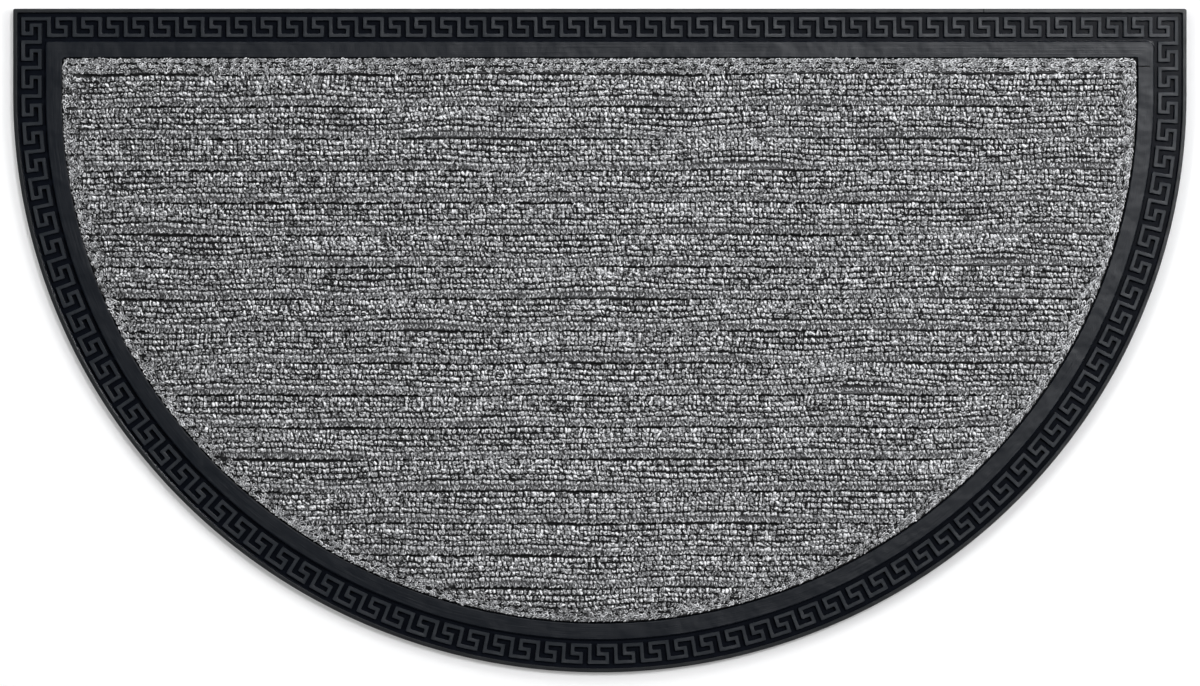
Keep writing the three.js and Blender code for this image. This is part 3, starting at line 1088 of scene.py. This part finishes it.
def plan_loops():
    """x, y, row number, run noise and undisturbed y of every loop on the carpet."""
    first = -int((FIRST_RIB_INSET - CARPET_INSET) / ROW_PITCH) - 1
    last = int((DEPTH - CARPET_INSET - FIRST_RIB_INSET) / ROW_PITCH) + 1
    reach = HALF_WIDTH - CARPET_INSET
    count = int(2 * reach / STITCH_PITCH)
    phases = plan_random.uniform(0, 2 * math.pi, (3, 3))
    rows = []
    for row in range(first, last + 1):
        x = (np.arange(count) - count / 2 + plan_random.uniform(0, 1)) * STITCH_PITCH
        rib, place_in_rib = divmod(row, ROWS_PER_RIB)
        even_y = TOP_Y - FIRST_RIB_INSET - (row + 0.5) * ROW_PITCH + ROW_SHIFT[place_in_rib]
        drift = WANDER * slow_drift(x, WANDER_STEPS * rib, WANDER_LENGTH, phases[0])
        stray = slow_drift(x, STRAY_STEPS * rib, STRAY_LENGTH, phases[1])
        drift = drift + ROW_STRAY[place_in_rib] * stray
        drift = drift + WOBBLE * slow_drift(x, WOBBLE_STEPS * row, WOBBLE_LENGTH, phases[2])
        y = even_y + ROW_TILT * x + drift
        rows.append(np.column_stack([
            x, y, np.full(count, row), run_noise(count, RUN_LOOPS), np.full(count, even_y),
        ]))
    return np.vstack(rows)


def loose_loops(x, y):
    """The same five numbers for loops that lie in no row of their own."""
    row = np.floor((TOP_Y - FIRST_RIB_INSET - y) / ROW_PITCH)
    return np.column_stack([x, y, row, plan_random.normal(size=len(x)), y])


def extra_loops():
    """More crushed loops, scattered over the margin."""
    x = plan_random.uniform(-HALF_WIDTH, HALF_WIDTH, TRIED_PLACES)
    y = plan_random.uniform(TOP_Y - DEPTH, TOP_Y, TRIED_PLACES)
    inset = inset_of(x, y)
    kept = np.flatnonzero((inset > CARPET_INSET) & (inset < MARGIN_END))[:EXTRA_MARGIN_LOOPS]
    return loose_loops(x[kept], y[kept])


def edge_loops():
    """A close row of crushed loops right along the carpet's cut edge."""
    line = outline(EDGE_ROW_INSET, CARPET_CORNERS)
    line = np.vstack([line, line[:1]])
    steps = np.linalg.norm(np.diff(line, axis=0), axis=1)
    along = np.concatenate([[0], np.cumsum(steps)])
    places = np.arange(0, along[-1], EDGE_ROW_PITCH)
    return loose_loops(*(np.interp(places, along, line[:, k]) for k in (0, 1)))


plan = np.vstack([plan_loops(), extra_loops(), edge_loops()])
plan[:, :2] += STITCH_JITTER * plan_random.normal(size=(len(plan), 2))
plan = plan[inset_of(plan[:, 0], plan[:, 1]) > CARPET_INSET + EDGE_CLEARANCE]
plan[:, :2] += OFF_CENTRE
print("loops:", len(plan))

# %% [markdown]
# A loop's state follows from its row and from how far in it is. The first three rows of a rib
# stand nearly straight, the next two lean over more and more, and the sixth lies down, with
# its crown beside the furrow. One standing loop in fourteen was knocked well over. In the
# margin the loops lie roughly along the edge, combed more evenly at the right, and those at
# the very edge lie closely along it. The plies of a leaning loop are turned further than
# those of an upright one, because its foot is held and its crown is pushed sideways.
#
# A loop's tone is how light its yarn is. It differs from loop to loop and from run to run.
# Painted shade also makes the carpet darker at the left, and the margin is paler at both
# ends, which at the right end is painted light.

# %% How each loop stands
STANDING, LEANING, CRUSHED, MARGIN = range(4)
LEANING_ROW, CRUSHED_ROW = 4, 5  # counted from 0
# Rows 1 to 6 of a rib, then the margin: lean, spread of lean, heading, spread of heading and
# turn of the plies, all in degrees, then how much loose fibre the press felted over the loop,
# and how broad the neighbours left it.
ROW_STATES = [
    (2, 8, 180, 18, -12, 0.0, 0.97),
    (3, 8, 180, 20, -24, 0.0, 0.95),
    (7, 8, 184, 20, -36, 0.0, 0.96),
    (20, 9, 194, 18, -44, 0.0, 0.96),
    (36, 12, 200, 18, -50, 0.25, 0.97),
    (78, 7, 186, 20, -35, 0.1, 1.0),
    (85, 5, 0, 40, 0, 0.0, 1.0),
]
KNOCKED_SHARE = 0.07
KNOCKED_LEAN = 38
MARGIN_RAGGED = 0.8  # how unevenly the margin ends, in millimetres
EDGE_ROW_END = CARPET_INSET + 3.2  # up to there a loop belongs to the row along the edge
EDGE_HEADING_SPREAD = 12
LAID_REACH = 1.5  # how far sideways a loop's crown comes when it lies flat
SIZE_SPREAD = (0.13, 0.12, 0.05)  # of a loop's length, breadth and height
COMBED_FROM = 0.5  # of the half width, from where the margin is combed more evenly
COMBED_SPREAD = 0.5  # the share of the spread of heading that is left there
COMBED_STRETCH = 1.25
CRUSHED_STRETCH = 1.15
MARGIN_SHARE = 0.84  # how much of a loop's size shows once it is crushed into the margin
TIPPED_OVER = (0, 30, 60, 90)  # how far the plies tip over with the loop, for each state
TIPPED_SPREAD = 10
TWIST_SPREAD = 12
STATE_TONES = (0.0, -0.6, 0.3)  # standing, leaning, crushed
RUN_TONE = 0.6
LOOP_TONES = (0.6, 1.5)  # spread of tone from loop to loop, on the ribs and in the margin
# painted shade that darkens the carpet towards the left
LEFT_PAINTED_SHADE = 1.8
# paler margin at both ends; at the right end this is painted light
MARGIN_PALENESS_AND_PAINTED_LIGHT = (1.7, 1.5)  # at the left and right ends


def edge_heading(x, y):
    """The heading, in degrees, that lays a loop along the nearest edge."""
    round_heading = np.degrees(np.arctan2(y - SHOULDER_Y, x))
    at_top = TOP_Y - y < np.minimum(HALF_WIDTH - np.abs(x), TOP_Y - SHOULDER_Y)
    at_side = (y > SHOULDER_Y) & ~at_top
    return np.select([at_top, at_side], [90, 0], round_heading)


def loop_headings(x, y, inset, state, spread, lean, heading):
    """Lays the margin's loops along the edge, and turns round those that would cross it."""
    heading = heading + np.where(state == MARGIN, edge_heading(x, y), 0)
    along_edge = edge_heading(x, y) + EDGE_HEADING_SPREAD * spread
    heading = np.where(inset < EDGE_ROW_END, along_edge, heading)
    reach = LAID_REACH * np.sin(np.radians(lean))
    crown_x = x - reach * np.sin(np.radians(heading))
    crown_y = y + reach * np.cos(np.radians(heading))
    over = inset_of(crown_x, crown_y) < CARPET_INSET + EDGE_CLEARANCE
    return np.where(over, heading + 180, heading)


def loop_tones(x, state, spread, runs):
    """How much lighter than usual each loop's yarn is. Painted shade darkens it towards the
    left, and the margin's paleness at the right end is painted light.
    """
    to_right = np.clip(x / HALF_WIDTH, 0, 1)
    to_left = np.clip(-x / HALF_WIDTH, 0, 1)
    paler = MARGIN_PALENESS_AND_PAINTED_LIGHT[0] * to_left + MARGIN_PALENESS_AND_PAINTED_LIGHT[1] * to_right**2
    own = np.where(state == MARGIN, LOOP_TONES[1], LOOP_TONES[0]) * spread
    by_state = np.choose(state, [*STATE_TONES, paler])
    return own + RUN_TONE * runs + by_state - LEFT_PAINTED_SHADE * to_left


def loop_states(plan):
    """For each loop: lean and heading in degrees, scale, tone and pressing, the turn of its
    plies in radians, and its form's number."""
    x, y, row, runs, _ = plan.T
    count = len(plan)
    spread = plan_random.normal(size=(count, 7))
    inset = inset_of(x, y)
    in_margin = inset < MARGIN_END + MARGIN_RAGGED * spread[:, 6]
    place_in_rib = np.mod(row, ROWS_PER_RIB)
    state = np.select(
        [in_margin, place_in_rib == CRUSHED_ROW, place_in_rib == LEANING_ROW],
        [MARGIN, CRUSHED, LEANING], STANDING,
    )
    kind = np.where(state == MARGIN, ROWS_PER_RIB, place_in_rib).astype(int)
    settings = np.array(ROW_STATES)[kind].T
    lean, lean_spread, heading, heading_spread, twist, pressed, breadth = settings
    lean = lean + lean_spread * spread[:, 0]
    combed = (state == MARGIN) & (x > COMBED_FROM * HALF_WIDTH)
    heading = heading + np.where(combed, COMBED_SPREAD, 1.0) * heading_spread * spread[:, 1]
    knocked = (state == STANDING) & (plan_random.uniform(size=count) < KNOCKED_SHARE)
    lean = lean + np.where(knocked, KNOCKED_LEAN, 0)
    heading = loop_headings(x, y, inset, state, spread[:, 1], lean, heading)

    scale = 1 + np.array(SIZE_SPREAD) * spread[:, 2:5]
    scale[:, 1] *= breadth
    scale[:, 2] *= np.select([combed, state == CRUSHED], [COMBED_STRETCH, CRUSHED_STRETCH], 1.0)
    scale[state == MARGIN] *= MARGIN_SHARE
    tone = loop_tones(x, state, spread[:, 5], runs)
    tipped = np.choose(state, TIPPED_OVER) + TIPPED_SPREAD * spread[:, 6]
    twist = twist + TWIST_SPREAD * spread[:, 5]
    ply_turn = np.radians(np.column_stack([0 * x, tipped, twist]))
    form = np.where(state > LEANING, FORMS_OF_EACH, 0)
    form = form + plan_random.integers(0, FORMS_OF_EACH, count)
    looks = np.column_stack([tone, pressed])
    return np.column_stack([lean, heading]), scale, looks, ply_turn, form


turns, scales, looks, ply_turns, forms = loop_states(plan)
print("standing loops:", int((forms < FORMS_OF_EACH).sum()))

# %% [markdown]
# Geometry Nodes does the tufting. On each point of the plan it sets one loop, picks its form
# by the point's number, leans, turns and squeezes it as the point says, then makes the
# copies real. The pile is split into bands of rows, so that no piece gets too heavy.

# %% The tufting tree
def tufting_tree():
    tree, group_in, group_out = new_tree("tufting", [
        ("Forms", "NodeSocketCollection"),
        ("Height Jitter", "NodeSocketFloat"),
        ("Seed", "NodeSocketInt"),
        ("Yarn", "NodeSocketMaterial"),
    ])
    given = group_in.outputs
    up = given["Height Jitter"]
    jitter = add_node(tree, "FunctionNodeRandomValue", {
        2: calculate(tree, "MULTIPLY", up, -1.0), 3: up, "Seed": given["Seed"],
    }, data_type="FLOAT")
    lift = value_of(tree, "ShaderNodeCombineXYZ", {"Z": jitter.outputs[1]})
    roots = value_of(tree, "GeometryNodeSetPosition", {
        "Geometry": given["Geometry"], "Offset": lift,
    })
    forms = value_of(tree, "GeometryNodeCollectionInfo", {
        "Collection": given["Forms"], "Separate Children": True, "Reset Children": True,
    })
    turn = value_of(tree, "FunctionNodeEulerToRotation", {"Euler": named(tree, "turn")})
    tufts = value_of(tree, "GeometryNodeInstanceOnPoints", {
        "Points": roots, "Instance": forms, "Pick Instance": True,
        "Instance Index": named(tree, "form", "INT"), "Rotation": turn,
        "Scale": named(tree, "squeeze"),
    })
    real = value_of(tree, "GeometryNodeRealizeInstances", {"Geometry": tufts})
    dyed = value_of(tree, "GeometryNodeSetMaterial", {
        "Geometry": real, "Material": given["Yarn"],
    })
    tree.links.new(dyed, group_out.inputs[0])
    return tree


tufting = tufting_tree()
print("tufting tree:", len(tufting.nodes), "nodes")

# %% [markdown]
# The yarn is polypropylene, spun from pale grey, mid grey and black fibre, which carpet
# makers call heather. Its plies are twisted hard, so that at a loop's crown they run nearly
# across the row: each loop shows two or three short slanting strokes, lighter and darker,
# with creases between them that are shaped in the relief and painted dark as shade. Real
# plies are about half a millimetre thick, and here they are twice as coarse, because finer
# ones would vanish in the picture. The yarn is matt, with a faint sheen from the fibres' sides.

# %% Heather yarn
YARN_BLACK = "161718"
YARN_GREY = "929395"
YARN_PALE = "f2f3f5"
PLY_MM = 1.0
PLY_WAVER = 0.7  # how far the fibres push a ply off its even place, in plies
FIBRE_MM = 1.0
FIBRE_STRETCH = (0.95, 0.95, 0.75)
OWN_PATTERN = (37.0, 17.0, 53.0)  # how far apart the patterns of two loops of unlike tone are
PALE_PLY = 0.2
PLY_CONTRAST = 0.5
FIBRE_CONTRAST = 1.85
TONE_CONTRAST = 0.07
DARKENING = -0.61
CREASE_SHARE = 0.3  # how much of a ply's width falls away into the crease
# how far painted shade darkens the colour in a crease
CREASE_PAINTED_SHADE = 0.45
FELTED_LEVEL = 0.45  # what loose fibre brings a pressed loop's shade towards
CROWN_REACH_MM = 0.9
# how much painted highlight a pressed loop's crown gets
CROWN_PAINTED_HIGHLIGHT = 0.8


def plies(tree, strand, tone):
    """The yarn's fibres, each ply's own tone and a paler second ply, then the creases
    between plies, 1 on a ply and lower in a crease, for the relief and for painted shade."""
    own = added(tree, strand, scaled(tree, OWN_PATTERN, tone))
    slanted = value_of(tree, "ShaderNodeVectorRotate", {
        "Vector": own, "Rotation": stored(tree, "ply_turn", "Vector"),
    }, rotation_type="EULER_XYZ")
    drawn_out = value_of(tree, "ShaderNodeMapping", {"Vector": slanted, "Scale": FIBRE_STRETCH})
    fibres = noise(tree, drawn_out, FIBRE_MM, 0.5, 0.6)
    along = weigh(tree, [(part_of(tree, slanted, "X"), 1 / PLY_MM), (fibres, PLY_WAVER)], 0.0)
    ply_tone = add_node(tree, "ShaderNodeTexWhiteNoise", {"W": calculate(tree, "FLOOR", along)},
                        noise_dimensions="1D").outputs["Value"]
    pale_ply = calculate(tree, "SINE", calculate(tree, "MULTIPLY", along, math.pi))
    crease = calculate(tree, "PINGPONG", calculate(tree, "FRACT", along), 0.5)
    crease_relief_and_shade = fade(tree, crease, 0.0, CREASE_SHARE / 2, low=1 - CREASE_PAINTED_SHADE,
                 kind="SMOOTHSTEP")
    return fibres, ply_tone, pale_ply, crease_relief_and_shade


def heather_yarn():
    material, tree = new_material("heather_yarn")
    strand, tone = stored(tree, "strand", "Vector"), stored(tree, "tone")
    fibres, ply_tone, pale_ply, crease_relief_and_shade = plies(tree, strand, tone)
    level = weigh(tree, [
        (pale_ply, PALE_PLY), (ply_tone, PLY_CONTRAST), (fibres, FIBRE_CONTRAST),
        (tone, TONE_CONTRAST),
    ], DARKENING)
    from_crown = calculate(tree, "ABSOLUTE", part_of(tree, strand, "X"))
    # A pressed loop's crown is painted lighter, a painted highlight where it catches the light.
    crown = fade(tree, from_crown, CROWN_REACH_MM, 0.3 * CROWN_REACH_MM, high=CROWN_PAINTED_HIGHLIGHT)
    level = value_of(tree, "ShaderNodeMix", {
        0: stored(tree, "pressed"), 2: level, 3: weigh(tree, [(crown, 1.0)], FELTED_LEVEL),
    }, data_type="FLOAT")
    shades = [(0.05, YARN_BLACK), (0.5, YARN_GREY), (0.95, YARN_PALE)]
    relief = weigh(tree, [(fibres, 0.3), (crease_relief_and_shade, 0.7)], 0.0)
    add_surface(tree, {
        # The colour is multiplied by the crease term, which is painted shade in the creases.
        "Base Color": colour_ramp(tree, calculate(tree, "MULTIPLY", level, crease_relief_and_shade), shades),
        "Roughness": 0.8, "Normal": bump(tree, relief, 0.8, 0.3 * MM),
        "Sheen Weight": 0.15, "Sheen Roughness": 0.5, "Specular IOR Level": 0.3,
    })
    return material


yarn = heather_yarn()
print("yarn finish:", len(yarn.node_tree.nodes), "nodes")

# %% [markdown]
# Now the tree runs on the stitch plan, one band of rows after another. A leaned loop is
# rooted higher or lower, so that its top comes to the pile's height there, and a little to
# the side, so that its middle stays over its stitch.

# %% Tuft the carpet
HEIGHT_JITTER = 0.2
TUFT_SEED = 5
PILE_PIECES = 5
CELL_BORDER = 0.08  # the rim of a chart's cell that stays free
LEANED_MIDDLE = 1.25  # how far up from its root a loop's middle is
# For a standing and for a crushed loop, as its form has them.
CROWN_HEIGHTS = (2.36, 2.3)
HALF_BREADTHS = (1.3, 0.5)
CROWN_DEPTHS = (0.54, 0.3)


def lying_height(lean, scale, form):
    """How high a leaned loop's top is above its root."""
    kind = form // FORMS_OF_EACH
    crown, half_breadth, depth = (
        np.array(pair)[kind] for pair in (CROWN_HEIGHTS, HALF_BREADTHS, CROWN_DEPTHS)
    )
    upright = (crown + depth) * scale[:, 2] * np.cos(lean)
    tipped = crown * scale[:, 2] * np.cos(lean) + half_breadth * scale[:, 1] * np.sin(lean)
    return np.maximum(upright, tipped)


def band_plan(chosen):
    """The chosen loops of the plan as a mesh of points with their attributes."""
    x, y = plan[chosen, 0], plan[chosen, 1]
    lean, heading = np.radians(turns[chosen]).T
    scale, form = scales[chosen], forms[chosen]
    z = pile_top(x, plan[chosen, 4]) - lying_height(lean, scale, form)
    middle = LEANED_MIDDLE * np.sin(lean)
    x, y = x + middle * np.sin(heading), y - middle * np.cos(heading)
    mesh = bpy.data.meshes.new("stitch_plan")
    mesh.from_pydata(np.column_stack([x, y, z]) * MM, [], [])
    add_vectors(mesh, "turn", np.column_stack([-lean, np.zeros(len(lean)), heading]))
    add_vectors(mesh, "squeeze", scale)
    add_numbers(mesh, "tone", looks[chosen, 0])
    add_numbers(mesh, "pressed", looks[chosen, 1])
    add_vectors(mesh, "ply_turn", ply_turns[chosen])
    add_numbers(mesh, "cell", np.arange(len(chosen)))
    add_numbers(mesh, "form", form, "INT")
    return mesh


def add_bake_chart(mesh):
    """Gives each loop its own cell in a square chart, so that a baked texture has room for
    every one of them."""
    cell = np.zeros(len(mesh.vertices), np.float32)
    mesh.attributes["cell"].data.foreach_get("value", cell)
    corner_vertex = np.zeros(len(mesh.loops), np.int32)
    mesh.loops.foreach_get("vertex_index", corner_vertex)
    chart = np.zeros(len(mesh.loops) * 2, np.float32)
    mesh.uv_layers["loop_chart"].data.foreach_get("uv", chart)
    own_cell = np.round(cell[corner_vertex]).astype(int)
    side = math.ceil(math.sqrt(own_cell.max() + 1))
    corner = np.column_stack([own_cell % side, own_cell // side])
    inner = CELL_BORDER + (1 - 2 * CELL_BORDER) * chart.reshape(-1, 2)
    chart = (corner + inner) / side
    mesh.uv_layers.new(name="OFBake").data.foreach_set("uv", chart.astype(np.float32).ravel())
    mesh.uv_layers.remove(mesh.uv_layers["loop_chart"])
    for name in ("cell", "form", "turn", "squeeze"):
        if name in mesh.attributes:
            mesh.attributes.remove(mesh.attributes[name])


def tuft_pile():
    order = np.argsort(-plan[:, 1], kind="stable")
    pieces = []
    for number, chosen in enumerate(np.array_split(order, PILE_PIECES)):
        piece = run_tree(tufting, band_plan(chosen), f"pile_band_{number + 1}", {
            "Forms": yarn_forms, "Height Jitter": HEIGHT_JITTER * MM,
            "Seed": TUFT_SEED + number, "Yarn": yarn,
        })
        add_bake_chart(piece.data)
        pieces.append(piece)
    return pieces


def count_triangles(made):
    made.data.calc_loop_triangles()
    return len(made.data.loop_triangles)


pile = tuft_pile()
print("pile triangles:", [count_triangles(p) for p in pile])
print("rubber and backing:", count_triangles(moulding), count_triangles(backing))

# %% [markdown]
# The backing's finish is a dark weave under the standing pile and in the furrows, painted
# that dark as shade. Where the pile was crushed, a felt of loose heather fibre covers it, in
# fine light and dark squiggles.

# %% Felt, and a weave painted dark as shade
# The weave's black is mostly painted shade, under the pile and in the furrows.
WEAVE_AND_PAINTED_SHADE_BLACK = "1a1a1b"
FELT_DARK = "161617"
FELT_PALE = "848486"
FELT_MM = 0.9


def felted_weave():
    material, tree = new_material("felted_weave")
    place = add_node(tree, "ShaderNodeTexCoord").outputs["Object"]
    squiggles = noise(tree, place, FELT_MM * MM, 3.0, 0.7, Distortion=1.5)
    felt = colour_ramp(tree, squiggles, [(0.36, FELT_DARK), (0.62, FELT_PALE)])
    add_surface(tree, {
        # Where there is no felt, the dark colour is painted shade.
        "Base Color": mix_colours(tree, stored(tree, "fibre"), WEAVE_AND_PAINTED_SHADE_BLACK, felt),
        "Roughness": 0.9, "Normal": bump(tree, squiggles, 0.6, 0.3 * MM),
    })
    return material


backing.data.materials.append(felted_weave())
print("backing finish:", len(backing.data.materials[0].node_tree.nodes), "nodes")

# %% [markdown]
# The studio is plain: a matt white floor, two large soft lights far out at the left and
# right, a third behind the straight edge, and a little light from all round. These four only
# light surfaces. One smaller lamp overhead, to the right and behind, also makes the glare that
# brightens the rubber towards the top right corner.

# %% Floor and lights
def matt_white():
    material = bpy.data.materials.new("matt_white_floor")
    material.use_nodes = True
    shader = material.node_tree.nodes["Principled BSDF"]
    shader.inputs["Base Color"].default_value = linear("f8f8f8")
    shader.inputs["Roughness"].default_value = 0.9
    shader.inputs["Specular IOR Level"].default_value = 0.1
    return material


FLOOR_HALF = 4000.0
floor = make_object("floor", [
    (-FLOOR_HALF, -FLOOR_HALF, 0), (FLOOR_HALF, -FLOOR_HALF, 0),
    (FLOOR_HALF, FLOOR_HALF, 0), (-FLOOR_HALF, FLOOR_HALF, 0),
], [(0, 1, 2, 3)])
floor.data.materials.append(matt_white())


def soft_light(name, place, size, power, glare=True, colour="ffffff"):
    """An area light that points at the middle of the mat. Without glare it lights surfaces,
    but leaves no reflection on them, as a lamp behind a polarising sheet does."""
    data = bpy.data.lights.new(name, "AREA")
    data.shape = "RECTANGLE"
    data.size, data.size_y = size[0] * MM, size[1] * MM
    data.energy = power
    data.color = linear(colour)[:3]
    made = put_in_scene(name, data)
    made.location = np.array(place) * MM
    made.rotation_euler = (-made.location).to_track_quat("-Z", "Y").to_euler()
    made.visible_glossy = glare


soft_light("light_overhead_right", (1060, 1050, 2600), (600, 600), 31.0, colour="fbfcff")
soft_light("light_left", (-4200, 400, 2400), (3400, 1700), 134.0, glare=False)
soft_light("light_right", (4200, 400, 2400), (3400, 1700), 134.0, glare=False)
soft_light("light_behind", (0, 2300, 1400), (3000, 900), 37.0, glare=False)

world = bpy.data.worlds.new("studio")
world.use_nodes = True
world.node_tree.nodes["Background"].inputs["Color"].default_value = (1, 1, 1, 1)
world.node_tree.nodes["Background"].inputs["Strength"].default_value = 0.14
world.cycles_visibility.glossy = False
bpy.context.scene.world = world
bpy.context.scene.view_settings.view_transform = "Standard"

# %% [markdown]
# At the end each piece is tied to the frame, to the body it rides on, and the parts of the
# model that the new pieces stand for are hidden.

for holder in (ridge_section, *yarn_forms.objects):
    bpy.data.objects.remove(holder)
bpy.data.collections.remove(yarn_forms)

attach(moulding, "root")
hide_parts("rubber_base")

for piece in [backing, *pile]:
    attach(piece, "root")
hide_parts("carpet_inlay")
